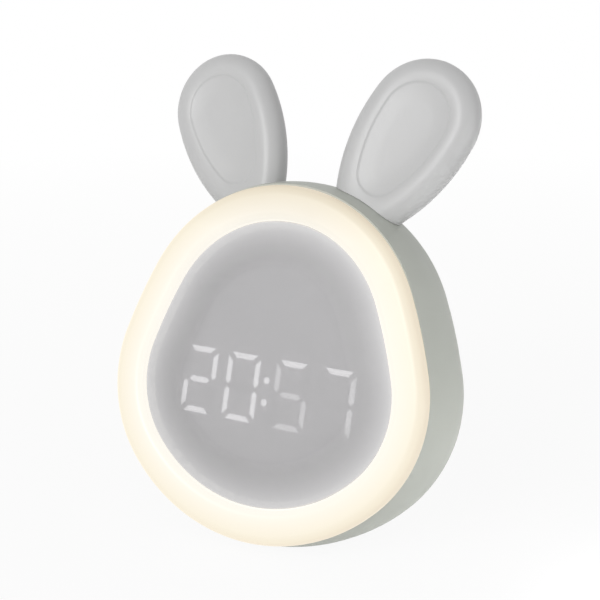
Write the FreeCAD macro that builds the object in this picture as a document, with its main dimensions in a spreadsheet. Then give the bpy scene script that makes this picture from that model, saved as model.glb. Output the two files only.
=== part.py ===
import FreeCAD, Part
import math
import os
import Sketcher
from FreeCAD import Placement, Rotation, Vector

# A bedside clock for children in the shape of a rabbit's head, in millimetres.
# The pieces are drawn in the face's own frame: X to the viewer's right, Y into the clock,
# Z up the face, with the origin at the centre of the face's top arc, on the front of the
# light ring. At the end all of them are leant back onto the flat base.

SIZES = {
    # Outline of the display window, a rounded triangle of tangent arcs
    "window_top_radius": 46.6,
    "window_side_radius": 181.0,
    "window_side_drop": 56.6,
    "window_corner_radius": 38.1,
    "window_base_radius": 59.2,
    "window_base_drop": 2.5,
    # Light ring around the window
    "ring_width": 13.45,
    "ring_edge_depth": 4.7,
    "ring_outer_round": 4.2,
    "ring_inner_round": 3.0,
    "ring_core_round": 1.0,
    "ring_wall": 2.0,
    "ring_ledge": 2.6,
    "ring_ledge_wall": 1.6,
    "ring_skirt": 4.5,
    "ring_skirt_wall": 1.7,
    # Window pane
    "pane_recess": 3.4,
    "pane_thickness": 2.6,
    "pane_edge": 0.4,
    "pane_gap": 0.15,
    # Rear housing
    "housing_depth": 58.6,
    "housing_wall": 2.4,
    "housing_bulge": 2.9,
    "housing_rise": 0.7,
    "housing_girth_depth": 22.0,
    "housing_back_radius": 33.0,
    "core_overlap": 0.9,
    "lean_angle": 16.1,
    "base_drop": 76.4,
    "plug_gap": 0.15,
    # Foot pad under the base
    "pad_width": 46.0,
    "pad_length": 34.0,
    "pad_corner": 14.0,
    "pad_thickness": 1.8,
    "pad_recess": 0.8,
    "pad_middle": 13.0,
    # Ears
    "ear_tip_radius": 22.4,
    "ear_root_radius": 11.8,
    "ear_side_radius": 71.0,
    "ear_length": 39.2,
    "ear_thickness": 13.4,
    "ear_edge_round": 6.4,
    "ear_wall": 2.0,
    "ear_face_wall": 4.2,
    "ear_tilt": 28.2,
    "ear_tip_across": 42.9,
    "ear_tip_rise": 43.6,
    "ear_middle_depth": 19.9,
    "ear_hollow_length": 15.0,
    "ear_hollow_root": 15.4,
    "ear_split": 3.2,
    "dish_tip_radius": 14.0,
    "dish_root_radius": 9.5,
    "dish_side_radius": 60.0,
    "dish_length": 23.3,
    "dish_drop": 1.0,
    "dish_depth": 2.2,
    "dish_slope": 6.6,
    "dish_lip": 0.6,
    "tenon_width": 16.0,
    "tenon_thickness": 6.0,
    "tenon_top": 33.0,
    "tenon_end": 45.8,
    "tenon_gap": 0.2,
    "socket_wall": 2.6,
    "socket_width_wall": 4.0,
    "socket_top": 38.4,
    "clamp_thickness": 2.0,
    # Display
    "digit_height": 25.6,
    "digit_width": 14.2,
    "digit_stroke": 1.9,
    "digit_corner": 1.5,
    "digit_waist": 0.8,
    "digit_bar": 8.6,
    "digit_inner_across": 10.7,
    "digit_outer_across": 29.8,
    "digit_drop": 18.2,
    "colon_pitch": 8.4,
    "colon_size": 2.4,
    "mask_gap": 0.2,
    "segment_gap": 0.1,
    "reflector_width": 82.0,
    "reflector_height": 30.0,
    "reflector_gap": 0.3,
    "display_board_width": 94.0,
    "display_board_height": 36.0,
    "board_thickness": 1.6,
    # Inner frame and the ring's lamps
    "baffle_wall": 2.4,
    "baffle_inset": 2.0,
    "frame_depth": 12.4,
    "frame_thickness": 2.0,
    "frame_rim": 9.0,
    "lamp_board_gap": 0.4,
    "lamp_board_rim": 8.6,
    "lamp_line": 3.6,
    "lamp_count": 24,
    "lamp_length": 3.5,
    "lamp_width": 2.8,
    "lamp_height": 1.2,
    # Main board
    "main_board_width": 50.0,
    "main_board_height": 36.0,
    "main_board_up": 20.0,
    "main_post_height": 6.0,
    "main_post_inset": 4.0,
    "chip_width": 9.0,
    "chip_height": 1.6,
    "socket_length": 7.0,
    "socket_depth": 4.5,
    "socket_rise": 5.0,
    # Keys and sockets on the back
    "key_radius": 4.2,
    "key_pitch": 12.4,
    "key_up": 14.0,
    "key_rise": 1.4,
    "key_travel": 0.6,
    "key_gap": 0.3,
    "key_flange": 1.0,
    "key_flange_rim": 0.9,
    "key_round": 0.8,
    "key_board_width": 58.0,
    "key_board_height": 24.0,
    "key_board_up": 7.5,
    "key_board_set_in": 11.6,
    "tact_width": 6.0,
    "tact_height": 3.5,
    "tact_stem_radius": 1.7,
    "tact_stem_height": 2.2,
    "slide_across": 14.0,
    "slide_up": 1.0,
    "slide_travel": 3.0,
    "slide_length": 4.0,
    "slide_width": 3.0,
    "slide_rise": 1.2,
    "slide_body_length": 12.0,
    "slide_body_width": 5.6,
    "slide_body_height": 4.0,
    "inlet_width": 9.0,
    "inlet_height": 3.3,
    "inlet_wall": 0.3,
    "inlet_gap": 0.4,
    "inlet_tongue": 6.3,
    # Speaker
    "speaker_drop": 27.0,
    "speaker_radius": 18.0,
    "speaker_rim": 3.0,
    "speaker_cone_radius": 15.0,
    "speaker_neck_radius": 5.5,
    "speaker_basket_depth": 2.1,
    "speaker_shoulder": 1.35,
    "speaker_steel": 1.0,
    "speaker_paper": 0.5,
    "magnet_radius": 11.0,
    "magnet_height": 7.0,
    "speaker_post_circle": 21.6,
    "speaker_clamp_thickness": 1.6,
    "grille_hole": 1.3,
    "grille_pitch": 5.0,
    "grille_rings": 2,
    # Battery
    "cell_radius": 9.2,
    "cell_length": 65.0,
    "cell_depth": 30.0,
    "cell_drop": 52.0,
    "cradle_wall": 1.6,
    "cradle_tab": 7.0,
    "cradle_lug": 5.25,
    "cradle_gap": 0.3,
    # Posts, screws and their holes
    "case_screw_upper_across": 31.0,
    "case_screw_upper_up": 24.0,
    "case_screw_lower_across": 42.0,
    "case_screw_lower_drop": 42.0,
    "case_post_radius": 4.2,
    "case_post_bore": 2.9,
    "case_post_seat": 2.0,
    "frame_post_height": 3.6,
    "screw_radius": 1.25,
    "screw_head_radius": 2.4,
    "screw_head_height": 1.6,
    "case_screw_length": 7.4,
    "board_screw_length": 5.0,
    "post_radius": 2.8,
    "hole_gap": 0.15,
}


class Size:
    """A size with its value now and the expression that ties it to the sheet."""

    def __init__(self, value, text):
        self.value = value
        self.text = text

    def __add__(self, other):
        return Size(self.value + value_of(other), "(%s + %s)" % (self.text, text_of(other)))

    def __sub__(self, other):
        return Size(self.value - value_of(other), "(%s - %s)" % (self.text, text_of(other)))

    def __mul__(self, other):
        return Size(self.value * value_of(other), "(%s * %s)" % (self.text, text_of(other)))

    def __truediv__(self, other):
        return Size(self.value / value_of(other), "(%s / %s)" % (self.text, text_of(other)))

    def __neg__(self):
        return Size(-self.value, "(-1 * %s)" % self.text)


def value_of(size):
    return size.value if isinstance(size, Size) else float(size)


def text_of(size):
    return size.text if isinstance(size, Size) else "%g" % size


def root(size):
    return Size(math.sqrt(size.value), "sqrt(%s)" % size.text)


def sine(size):
    return Size(math.sin(math.radians(size.value)), "sin(%s * 1 deg)" % size.text)


def cosine(size):
    return Size(math.cos(math.radians(size.value)), "cos(%s * 1 deg)" % size.text)


doc = FreeCAD.newDocument("rabbit_clock")
sheet = doc.addObject("Spreadsheet::Sheet", "Sizes")
for row, (alias, number) in enumerate(SIZES.items(), 1):
    sheet.set("A%d" % row, alias)
    sheet.set("B%d" % row, str(number))
    sheet.setAlias("B%d" % row, alias)
doc.recompute()


class Sheet:
    """The sheet's sizes by name."""


s = Sheet()
zero = Size(0.0, "0")
for alias in SIZES:
    setattr(s, alias, Size(float(sheet.get(alias)), "Sizes." + alias))


# Helpers for bodies, sketches and simple solids
def bind(thing, name, size):
    """Ties a property to a size of the sheet."""
    thing.setExpression(name, text_of(size))


def new_body(name):
    body = doc.addObject("PartDesign::Body", name)
    body.Label = name
    return body


def sketch_on(body, name, role, offset=0.0):
    """A sketch on one of the body's own planes, offset along that plane's normal."""
    sketch = body.newObject("Sketcher::SketchObject", body.Name + "_" + name)
    plane = [item for item in body.Origin.OriginFeatures if item.Role == role][0]
    sketch.AttachmentSupport = [(plane, "")]
    sketch.MapMode = "FlatFace"
    bind(sketch, "AttachmentOffset.Base.z", offset)
    return sketch


def face_sketch(body, name, depth):
    """A sketch parallel to the face, at a depth behind its front."""
    return sketch_on(body, name, "XZ_Plane", zero - depth)


def measured(sketch, kind, item, point, size):
    """Places one point of a sketch's geometry at a distance from the sketch's origin."""
    if value_of(size) == 0.0 and not isinstance(size, Size):
        axis = -2 if kind == "DistanceX" else -1
        sketch.addConstraint(Sketcher.Constraint("PointOnObject", item, point, axis))
        return
    index = sketch.addConstraint(
        Sketcher.Constraint(kind, -1, 1, item, point, value_of(size)))
    bind(sketch, "Constraints[%d]" % index, size)


def sized_radius(sketch, item, radius):
    index = sketch.addConstraint(Sketcher.Constraint("Radius", item, value_of(radius)))
    bind(sketch, "Constraints[%d]" % index, radius)


def arc(centre, radius, start, end):
    circle = Part.Circle(centre, Vector(0, 0, 1), radius)
    return Part.ArcOfCircle(circle, start, end)


def heading(start, end):
    return math.atan2(end.y - start.y, end.x - start.x)


def circle(sketch, x, y, radius):
    centre = Vector(value_of(x), value_of(y), 0)
    item = sketch.addGeometry(Part.Circle(centre, Vector(0, 0, 1), value_of(radius)), False)
    measured(sketch, "DistanceX", item, 3, x)
    measured(sketch, "DistanceY", item, 3, y)
    sized_radius(sketch, item, radius)


def profile(sketch, corners):
    """A closed outline through corners (x, y): each may add (radius, side), which makes the
    edge to the next corner an arc with its centre on the left (1) or right (-1)."""
    places = [Vector(value_of(corner[0]), value_of(corner[1]), 0) for corner in corners]
    ends = []
    for number, corner in enumerate(corners):
        start = places[number]
        end = places[(number + 1) % len(places)]
        if len(corner) == 2:
            item = sketch.addGeometry(Part.LineSegment(start, end), False)
            ends.append((item, 1, 2))
            continue
        radius, side = corner[2], corner[3]
        chord = end - start
        rise = math.sqrt(max(value_of(radius) ** 2 - chord.Length ** 2 / 4, 0.0))
        left = Vector(-chord.y, chord.x, 0).normalize()
        centre = start + chord * 0.5 + left * (rise * side)
        first, last = (start, end) if side > 0 else (end, start)
        turn = arc(centre, value_of(radius), heading(centre, first), heading(centre, last))
        item = sketch.addGeometry(turn, False)
        ends.append((item, 1, 2) if side > 0 else (item, 2, 1))
        sized_radius(sketch, item, radius)
    for number, corner in enumerate(corners):
        item, start, end = ends[number]
        after = ends[(number + 1) % len(ends)]
        sketch.addConstraint(Sketcher.Constraint("Coincident", item, end, after[0], after[1]))
        measured(sketch, "DistanceX", item, start, corner[0])
        measured(sketch, "DistanceY", item, start, corner[1])


def rectangle(sketch, x, y, width, height):
    """A rectangle about a middle point."""
    left, right = x - width / 2, x + width / 2
    low, high = y - height / 2, y + height / 2
    profile(sketch, [(left, low), (right, low), (right, high), (left, high)])


def rounded_rectangle(sketch, x, y, width, height, corner):
    """A rectangle about a middle point, with rounded corners."""
    left, right = x - width / 2, x + width / 2
    low, high = y - height / 2, y + height / 2
    profile(sketch, [
        (left + corner, low), (right - corner, low, corner, 1),
        (right, low + corner), (right, high - corner, corner, 1),
        (right - corner, high), (left + corner, high, corner, 1),
        (left, high - corner), (left, low + corner, corner, 1)])


def slot(sketch, x, y, length, width):
    """A slot along X with round ends, each made of two quarter turns."""
    end = width / 2
    left, right = x - length / 2, x + length / 2
    profile(sketch, [
        (left + end, y - end), (right - end, y - end, end, 1),
        (right, y, end, 1),
        (right - end, y + end), (left + end, y + end, end, 1),
        (left, y, end, 1)])


def pad(body, sketch, length, inward=True):
    """Adds material from a sketch, away from its normal when inward."""
    feature = body.newObject("PartDesign::Pad", sketch.Name + "_pad")
    feature.Profile = sketch
    bind(feature, "Length", length)
    feature.Reversed = inward
    return feature


def pocket(body, sketch, length, inward=True):
    """Removes material from a sketch, away from its normal when inward."""
    doc.recompute()
    before = body.Shape.Volume
    feature = body.newObject("PartDesign::Pocket", sketch.Name + "_pocket")
    feature.Profile = sketch
    bind(feature, "Length", length)
    feature.Reversed = not inward
    doc.recompute()
    if not feature.Shape.Volume < before - 1e-6:
        raise RuntimeError("nothing cut by " + feature.Name)
    return feature


def turned(name, corners, place=None):
    """A piece turned about its own Y axis, from corners (radius, depth)."""
    body = new_body(name)
    sketch = sketch_on(body, "half", "XY_Plane")
    profile(sketch, corners)
    feature = body.newObject("PartDesign::Revolution", name + "_turned")
    feature.Profile = sketch
    feature.ReferenceAxis = (sketch, ["V_Axis"])
    feature.Angle = 360.0
    if place:
        put(body, place)
    return body


def put(thing, place):
    """Places an object by a point of sizes."""
    for axis, size in zip("xyz", place):
        bind(thing, "Placement.Base." + axis, size)


def block(name, x, y, z, width, depth, height):
    """A box about a middle point in X and Z, from a front depth backwards."""
    box = doc.addObject("Part::Box", name)
    bind(box, "Length", width)
    bind(box, "Width", depth)
    bind(box, "Height", height)
    put(box, (x - width / 2, y, z - height / 2))
    return box


def joined(name, pieces):
    fused = doc.addObject("Part::MultiFuse", name)
    fused.Shapes = pieces
    return fused


def cut(name, base, tool):
    result = doc.addObject("Part::Cut", name)
    result.Base = base
    result.Tool = tool
    return result


def group(name, pieces):
    """Several separate solids of one kind in one node."""
    compound = doc.addObject("Part::Compound", name)
    compound.Links = pieces
    return compound


# The rounded-triangle outline that the window, ring and housing share
def outline_centres():
    """Centres of the right side arc, right corner arc and base arc."""
    reach = s.window_side_radius.value - s.window_top_radius.value
    drop = s.window_side_drop.value
    side = Vector(-math.sqrt(reach ** 2 - drop ** 2), -drop, 0)
    base = Vector(0, -s.window_base_drop.value, 0)
    between = base - side
    far = s.window_side_radius.value - s.window_corner_radius.value
    near = s.window_base_radius.value - s.window_corner_radius.value
    along = (between.Length ** 2 + far ** 2 - near ** 2) / (2 * between.Length)
    rise = math.sqrt(far ** 2 - along ** 2)
    unit = Vector(between).normalize()
    normal = Vector(unit.y, -unit.x, 0)
    return side, side + unit * along + normal * rise, base


def outline_arcs():
    """The outline's seven arcs from the top, anticlockwise: centre, radius, start, end."""
    side, corner, base = outline_centres()
    top = Vector(0, 0, 0)
    shoulder = heading(side, top)
    hip = heading(side, corner)
    heel = heading(base, corner)
    far_side = Vector(-side.x, side.y, 0)
    far_corner = Vector(-corner.x, corner.y, 0)
    half, full = math.pi, 2 * math.pi
    return [
        (top, s.window_top_radius, half / 2, half - shoulder),
        (far_side, s.window_side_radius, half - shoulder, half - hip),
        (far_corner, s.window_corner_radius, half - hip, half - heel),
        (base, s.window_base_radius, half - heel, full + heel),
        (corner, s.window_corner_radius, heel, hip),
        (side, s.window_side_radius, hip, shoulder),
        (top, s.window_top_radius, shoulder, half / 2)]


def outline(sketch, offset, rise=0.0):
    """The window's outline moved outward by an offset and up by a rise."""
    lift = Vector(0, value_of(rise), 0)
    for centre, radius, start, end in outline_arcs():
        turn = arc(centre + lift, radius.value + value_of(offset), start, end)
        item = sketch.addGeometry(turn, False)
        if item < 6:
            sized_radius(sketch, item, radius + offset)
    for item in range(7):
        sketch.addConstraint(Sketcher.Constraint("Tangent", item, 2, (item + 1) % 7, 1))
    measured(sketch, "DistanceX", 0, 3, 0.0)
    for item in (0, 6):
        measured(sketch, "DistanceY", item, 3, rise)
    sketch.addConstraint(Sketcher.Constraint("PointOnObject", 0, 1, -2))
    measured(sketch, "DistanceX", 3, 3, 0.0)
    measured(sketch, "DistanceY", 3, 3, -s.window_base_drop + rise)
    for item in (1, 5):
        measured(sketch, "DistanceY", item, 3, -s.window_side_drop + rise)


def outline_point(fraction, offset):
    """The point and outward heading at a fraction of the way round the outline."""
    lengths = [abs(end - start) * (radius.value + offset)
               for centre, radius, start, end in outline_arcs()]
    left = fraction * sum(lengths)
    for (centre, radius, start, end), length in zip(outline_arcs(), lengths):
        if left <= length:
            angle = start + (end - start) * left / length
            reach = radius.value + offset
            return centre.x + reach * math.cos(angle), centre.y + reach * math.sin(angle), angle
        left -= length
    raise RuntimeError("the fraction lies past the outline's end")


def swept(body, name, corners, rise=0.0, remove=False):
    """Carries a section of corners (depth, offset from the window) round the outline."""
    path = face_sketch(body, name + "_path", 0.0)
    outline(path, 0.0, rise)
    section = sketch_on(body, name + "_section", "YZ_Plane")
    raised = [(corner[0], s.window_top_radius + rise + corner[1]) + tuple(corner[2:])
              for corner in corners]
    profile(section, raised)
    doc.recompute()
    kind = "PartDesign::SubtractivePipe" if remove else "PartDesign::AdditivePipe"
    feature = body.newObject(kind, body.Name + "_" + name)
    feature.Profile = section
    feature.Spine = (path, [])
    return feature


# Depths that several pieces share
ledge_front = s.pane_recess + s.pane_thickness
ledge_back = ledge_front + s.ring_ledge_wall
mask_front = ledge_front + s.mask_gap
frame_back = s.frame_depth + s.frame_thickness
post_seat = frame_back + s.frame_post_height
back_inner = s.housing_depth - s.housing_wall
key_board_front = s.housing_depth - s.key_board_set_in
key_board_back = key_board_front + s.board_thickness
girth_width = s.ring_width + s.housing_bulge
pilot = s.screw_radius + s.hole_gap / 2
clear_hole = s.screw_radius + s.hole_gap


def outline_plate(name, offset, depth, thickness):
    """A plate with the window's outline, grown by an offset."""
    body = new_body(name)
    sketch = face_sketch(body, "outline", depth)
    outline(sketch, offset)
    pad(body, sketch, thickness)
    return body


def rim_edges(feature, depth):
    """Names of the edges that lie wholly at one depth."""
    names = []
    for number, edge in enumerate(feature.Shape.Edges, 1):
        box = edge.BoundBox
        if max(abs(box.YMin - depth), abs(box.YMax - depth)) < 1e-4:
            names.append("Edge%d" % number)
    return names


def rounded(body, kind, feature, edges, size):
    """Rounds or bevels the named edges of a feature."""
    dressing = body.newObject("PartDesign::" + kind, feature.Name + "_" + kind)
    dressing.Base = (feature, edges)
    bind(dressing, "Radius" if kind == "Fillet" else "Size", size)
    doc.recompute()
    return dressing


# Light ring: an opal moulding with a rounded front, a ledge for the pane and a skirt
def make_light_ring():
    body = new_body("light_ring")
    skirt_outer = s.ring_width - s.housing_wall - s.housing_rise - s.plug_gap
    skirt_inner = skirt_outer - s.ring_skirt_wall
    skirt_back = s.ring_edge_depth + s.ring_skirt
    wall, core = s.ring_wall, s.ring_core_round
    swept(body, "section", [
        (ledge_front, 0.0),
        (s.ring_inner_round, 0.0, s.ring_inner_round, -1),
        (0.0, s.ring_inner_round),
        (0.0, s.ring_width - s.ring_outer_round, s.ring_outer_round, -1),
        (s.ring_outer_round, s.ring_width),
        (s.ring_edge_depth, s.ring_width),
        (s.ring_edge_depth, skirt_outer),
        (skirt_back, skirt_outer),
        (skirt_back, skirt_inner),
        (wall + core, skirt_inner, core, 1),
        (wall, skirt_inner - core),
        (wall, wall + core, core, 1),
        (wall + core, wall),
        (ledge_back, wall),
        (ledge_back, -s.ring_ledge),
        (ledge_front, -s.ring_ledge)])
    return body


# Window pane: a grey translucent sheet bonded to the ring's ledge
def make_pane():
    body = outline_plate("window_pane", -s.pane_gap, s.pane_recess, s.pane_thickness)
    doc.recompute()
    feature = body.Tip
    rounded(body, "Chamfer", feature, rim_edges(feature, s.pane_recess.value), s.pane_edge)
    return body


# Domed solids of the housing: the outside, the hollow and the seat of the ears
def dome(name, inset, base_inset):
    """The housing's domed form moved inward by an inset, cut flat by the leaning base."""
    body = new_body(name)
    span = s.housing_girth_depth - s.ring_edge_depth
    swell = (span * span + s.housing_bulge * s.housing_bulge) / (s.housing_bulge * 2)
    girth = girth_width - inset
    back = s.housing_depth - inset
    turn = s.housing_back_radius - inset
    core = -(s.window_corner_radius / 2)
    swept(body, "side", [
        (s.ring_edge_depth, core),
        (s.ring_edge_depth, s.ring_width - inset, swell, -1),
        (s.housing_girth_depth, girth),
        (back - turn, girth, turn, -1),
        (back, girth - turn),
        (back, core)], s.housing_rise)
    middle = face_sketch(body, "middle", s.ring_edge_depth)
    outline(middle, core * s.core_overlap, s.housing_rise)
    pad(body, middle, back - s.ring_edge_depth)
    # The base's plane stays level when the face leans back
    near, far = -s.housing_depth, s.housing_depth * 2
    lean_sine, lean_cosine = sine(s.lean_angle), cosine(s.lean_angle)
    drop = s.base_drop - base_inset
    sketch = sketch_on(body, "base", "YZ_Plane")
    profile(sketch, [
        (near, (near * lean_sine - drop) / lean_cosine),
        (far, (far * lean_sine - drop) / lean_cosine),
        (far, -(s.base_drop * 2)),
        (near, -(s.base_drop * 2))])
    doc.recompute()
    before = body.Shape.Volume
    feature = body.newObject("PartDesign::Pocket", name + "_base_cut")
    feature.Profile = sketch
    bind(feature, "Length", s.housing_depth * 4)
    feature.Midplane = True
    doc.recompute()
    if not feature.Shape.Volume < before:
        raise RuntimeError("the base of " + name + " isn't cut")
    return body


def foot_pad(name, grow, thickness):
    """A rounded plate under the base, level when the clock stands."""
    body = new_body(name)
    top = s.pad_recess - s.base_drop
    sketch = sketch_on(body, "outline", "XY_Plane", top - thickness)
    rounded_rectangle(sketch, zero, s.pad_middle, s.pad_width + grow * 2,
                      s.pad_length + grow * 2, s.pad_corner + grow)
    pad(body, sketch, thickness, False)
    body.Placement = Placement(Vector(), Rotation(Vector(1, 0, 0), s.lean_angle.value))
    return body


def cylinder(name, x, y, z, radius, length):
    """A cylinder along Y from a front depth backwards."""
    solid = doc.addObject("Part::Cylinder", name)
    bind(solid, "Radius", radius)
    bind(solid, "Height", length)
    solid.Placement = Placement(Vector(), Rotation(Vector(1, 0, 0), -90))
    put(solid, (x, y, z))
    return solid


# Places of the posts and screws, (across, up)
def corners_of(across, up, middle):
    return [(across * side, middle + up * level) for side in (-1, 1) for level in (-1, 1)]


case_places = [(s.case_screw_upper_across * side, s.case_screw_upper_up) for side in (-1, 1)]
case_places += [(s.case_screw_lower_across * side, -s.case_screw_lower_drop) for side in (-1, 1)]
main_places = corners_of(s.main_board_width / 2 - s.main_post_inset,
                         s.main_board_height / 2 - s.main_post_inset, s.main_board_up)
key_places = corners_of(s.key_board_width / 2 - s.post_radius,
                        s.key_board_height / 2 - s.post_radius, s.key_board_up)
display_places = corners_of(s.display_board_width / 2 - s.screw_head_radius,
                            s.display_board_height / 2 - s.screw_head_radius, -s.digit_drop)
cradle_across = s.cell_length / 2 + s.cradle_gap + s.cradle_wall + s.cradle_lug
cradle_places = [(cradle_across * side, -s.cell_drop) for side in (-1, 1)]
speaker_places = []
for turn in (90, 210, 330):
    angle = math.radians(turn)
    speaker_places.append((s.speaker_post_circle * math.cos(angle),
                           s.speaker_post_circle * math.sin(angle) - s.speaker_drop))


def ear_frame(side):
    """The frame of one ear: origin at its tip circle, Z along the ear."""
    up = s.window_top_radius + s.ear_tip_rise
    tip = Vector(side * s.ear_tip_across.value, s.ear_middle_depth.value, up.value)
    return Placement(tip, Rotation(Vector(0, 1, 0), side * s.ear_tilt.value))


def tenon_body(name, side, width, thickness, top, end):
    """A block across the ear's axis, between two distances below the tip circle."""
    body = new_body(name)
    sketch = sketch_on(body, "section", "XY_Plane", -end)
    rectangle(sketch, zero, zero, width, thickness)
    pad(body, sketch, end - top, False)
    body.Placement = ear_frame(side)
    return body


socket_width = s.tenon_width + s.socket_width_wall * 2
socket_thickness = s.tenon_thickness + s.tenon_gap * 2 + s.socket_wall
socket_end = s.tenon_end + s.tenon_gap


# Rear housing: a domed shell with a flat base, ear sockets, posts and the back's openings
def make_housing():
    outside = dome("housing_outside", 0.0, 0.0)
    hollow = dome("housing_hollow", s.housing_wall, s.housing_wall)
    shell = cut("housing_shell", outside, hollow)
    posts = []
    for number, (x, z) in enumerate(case_places):
        posts.append(cylinder("case_post_%d" % number, x, post_seat, z, s.case_post_radius,
                              s.housing_depth - post_seat))
    for number, (x, z) in enumerate(key_places):
        posts.append(cylinder("key_post_%d" % number, x, key_board_back, z, s.post_radius,
                              s.housing_depth - key_board_back))
    for number, (x, z) in enumerate(speaker_places):
        posts.append(cylinder("speaker_post_%d" % number, x, speaker_seat, z, s.post_radius,
                              s.housing_depth - speaker_seat))
    for side in (-1, 1):
        posts.append(tenon_body("ear_socket_%d" % side, side, socket_width, socket_thickness,
                                s.socket_top, socket_end))
    inside = joined("housing_posts", posts)
    trimmed = doc.addObject("Part::Common", "housing_posts_trimmed")
    trimmed.Base = outside
    trimmed.Tool = inside
    whole = joined("housing_with_posts", [shell, trimmed])
    slots = [tenon_body("ear_slot_%d" % side, side, s.tenon_width + s.tenon_gap * 2,
                        s.tenon_thickness + s.tenon_gap * 2, s.tenon_top, socket_end + s.clamp_thickness)
             for side in (-1, 1)]
    slots.append(foot_pad("foot_recess", s.plug_gap, s.pad_thickness * 2))
    base = cut("housing_seats", whole, joined("housing_slots", slots))
    doc.recompute()
    body = new_body("rear_housing")
    body.BaseFeature = base
    doc.recompute()
    # Screw tubes, open at the back
    tubes = face_sketch(body, "tubes", post_seat + s.case_post_seat)
    holes = face_sketch(body, "holes", post_seat)
    for x, z in case_places:
        circle(tubes, x, z, s.case_post_bore)
        circle(holes, x, z, clear_hole)
    pocket(body, tubes, s.housing_depth)
    pocket(body, holes, s.housing_depth)
    pilots = face_sketch(body, "key_pilots", key_board_back)
    for x, z in key_places:
        circle(pilots, x, z, pilot)
    pocket(body, pilots, s.board_screw_length)
    pilots = face_sketch(body, "speaker_pilots", speaker_seat)
    for x, z in speaker_places:
        circle(pilots, x, z, pilot)
    pocket(body, pilots, s.board_screw_length - s.speaker_clamp_thickness)
    # Openings for the keys, the slide and the charging inlet
    front = back_inner - s.key_flange
    openings = face_sketch(body, "key_openings", front)
    for x in key_across:
        circle(openings, x, s.key_up, s.key_radius + s.key_gap)
    pocket(body, openings, s.housing_depth)
    openings = face_sketch(body, "slide_opening", front)
    slot(openings, s.slide_across, s.slide_up,
         s.slide_length + s.slide_travel + s.key_gap * 2, s.slide_width + s.key_gap * 2)
    slot(openings, -s.slide_across, s.slide_up,
         s.inlet_width + s.inlet_gap * 2, s.inlet_height + s.inlet_gap * 2)
    pocket(body, openings, s.housing_depth)
    # Speaker grille: a middle hole and rings of six more each
    grille = face_sketch(body, "grille_middle", front)
    bind(grille, "AttachmentOffset.Base.y", -s.speaker_drop)
    circle(grille, 0.0, 0.0, s.grille_hole)
    pocket(body, grille, s.housing_depth)
    for ring in range(1, int(s.grille_rings.value) + 1):
        hole = face_sketch(body, "grille_%d" % ring, front)
        bind(hole, "AttachmentOffset.Base.y", -s.speaker_drop)
        circle(hole, s.grille_pitch * ring, 0.0, s.grille_hole)
        feature = pocket(body, hole, s.housing_depth)
        pattern = body.newObject("PartDesign::PolarPattern", "grille_ring_%d" % ring)
        pattern.Originals = [feature]
        pattern.Axis = (hole, ["N_Axis"])
        pattern.Angle = 360
        pattern.Occurrences = 6 * ring
        body.Tip = pattern
        doc.recompute()
    return body


# Ears: each a hollow front shell with a dished face and a tenon, closed by a back shell
def ear_outline(sketch, tip, base, side, length, drop=0.0):
    """Tip circle, root circle and two long side arcs, all tangent."""
    reach = value_of(side)
    far, near = reach - value_of(tip), reach - value_of(base)
    span = value_of(length)
    down = (span ** 2 + far ** 2 - near ** 2) / (2 * span)
    over = math.sqrt(far ** 2 - down ** 2)
    top = Vector(0, -value_of(drop), 0)
    low = top - Vector(0, span, 0)
    left_centre = top + Vector(over, -down, 0)
    right_centre = top + Vector(-over, -down, 0)
    high = heading(right_centre, top)
    under = heading(right_centre, low)
    half = math.pi
    arcs = [(top, tip, half / 2, half - high), (left_centre, side, half - high, half - under),
            (low, base, half - under, 2 * half + under), (right_centre, side, under, high),
            (top, tip, high, half / 2)]
    for centre, radius, start, end in arcs:
        item = sketch.addGeometry(arc(centre, value_of(radius), start, end), False)
        if item < 4:
            sized_radius(sketch, item, radius)
    for item in range(5):
        sketch.addConstraint(Sketcher.Constraint("Tangent", item, 2, (item + 1) % 5, 1))
    sketch.addConstraint(Sketcher.Constraint("PointOnObject", 0, 1, -2))
    for item in (0, 2):
        measured(sketch, "DistanceX", item, 3, 0.0)
    for item in (0, 4):
        measured(sketch, "DistanceY", item, 3, -drop if drop else 0.0)
    measured(sketch, "DistanceY", 2, 3, -(length + drop))


def ear_dish(name, front):
    """The shallow bowl in the ear's face, as the solid that is cut away."""
    body = new_body(name)
    path = face_sketch(body, "rim", front)
    ear_outline(path, s.dish_tip_radius, s.dish_root_radius, s.dish_side_radius,
                s.dish_length, s.dish_drop)
    depth, slope = s.dish_depth, s.dish_slope
    bowl = (depth * depth + slope * slope) / (depth * 2)
    rim = s.dish_tip_radius - s.dish_drop
    section = sketch_on(body, "slope", "YZ_Plane")
    profile(section, [
        (front, rim - slope - s.dish_lip), (front, rim, bowl, 1),
        (front + depth, rim - slope), (front + depth, rim - slope - s.dish_lip)])
    doc.recompute()
    feature = body.newObject("PartDesign::AdditivePipe", name + "_bowl")
    feature.Profile = section
    feature.Spine = (path, [])
    middle = face_sketch(body, "middle", front)
    ear_outline(middle, s.dish_tip_radius - slope, s.dish_root_radius - slope,
                s.dish_side_radius - slope, s.dish_length, s.dish_drop)
    pad(body, middle, depth)
    doc.recompute()
    return body


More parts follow.
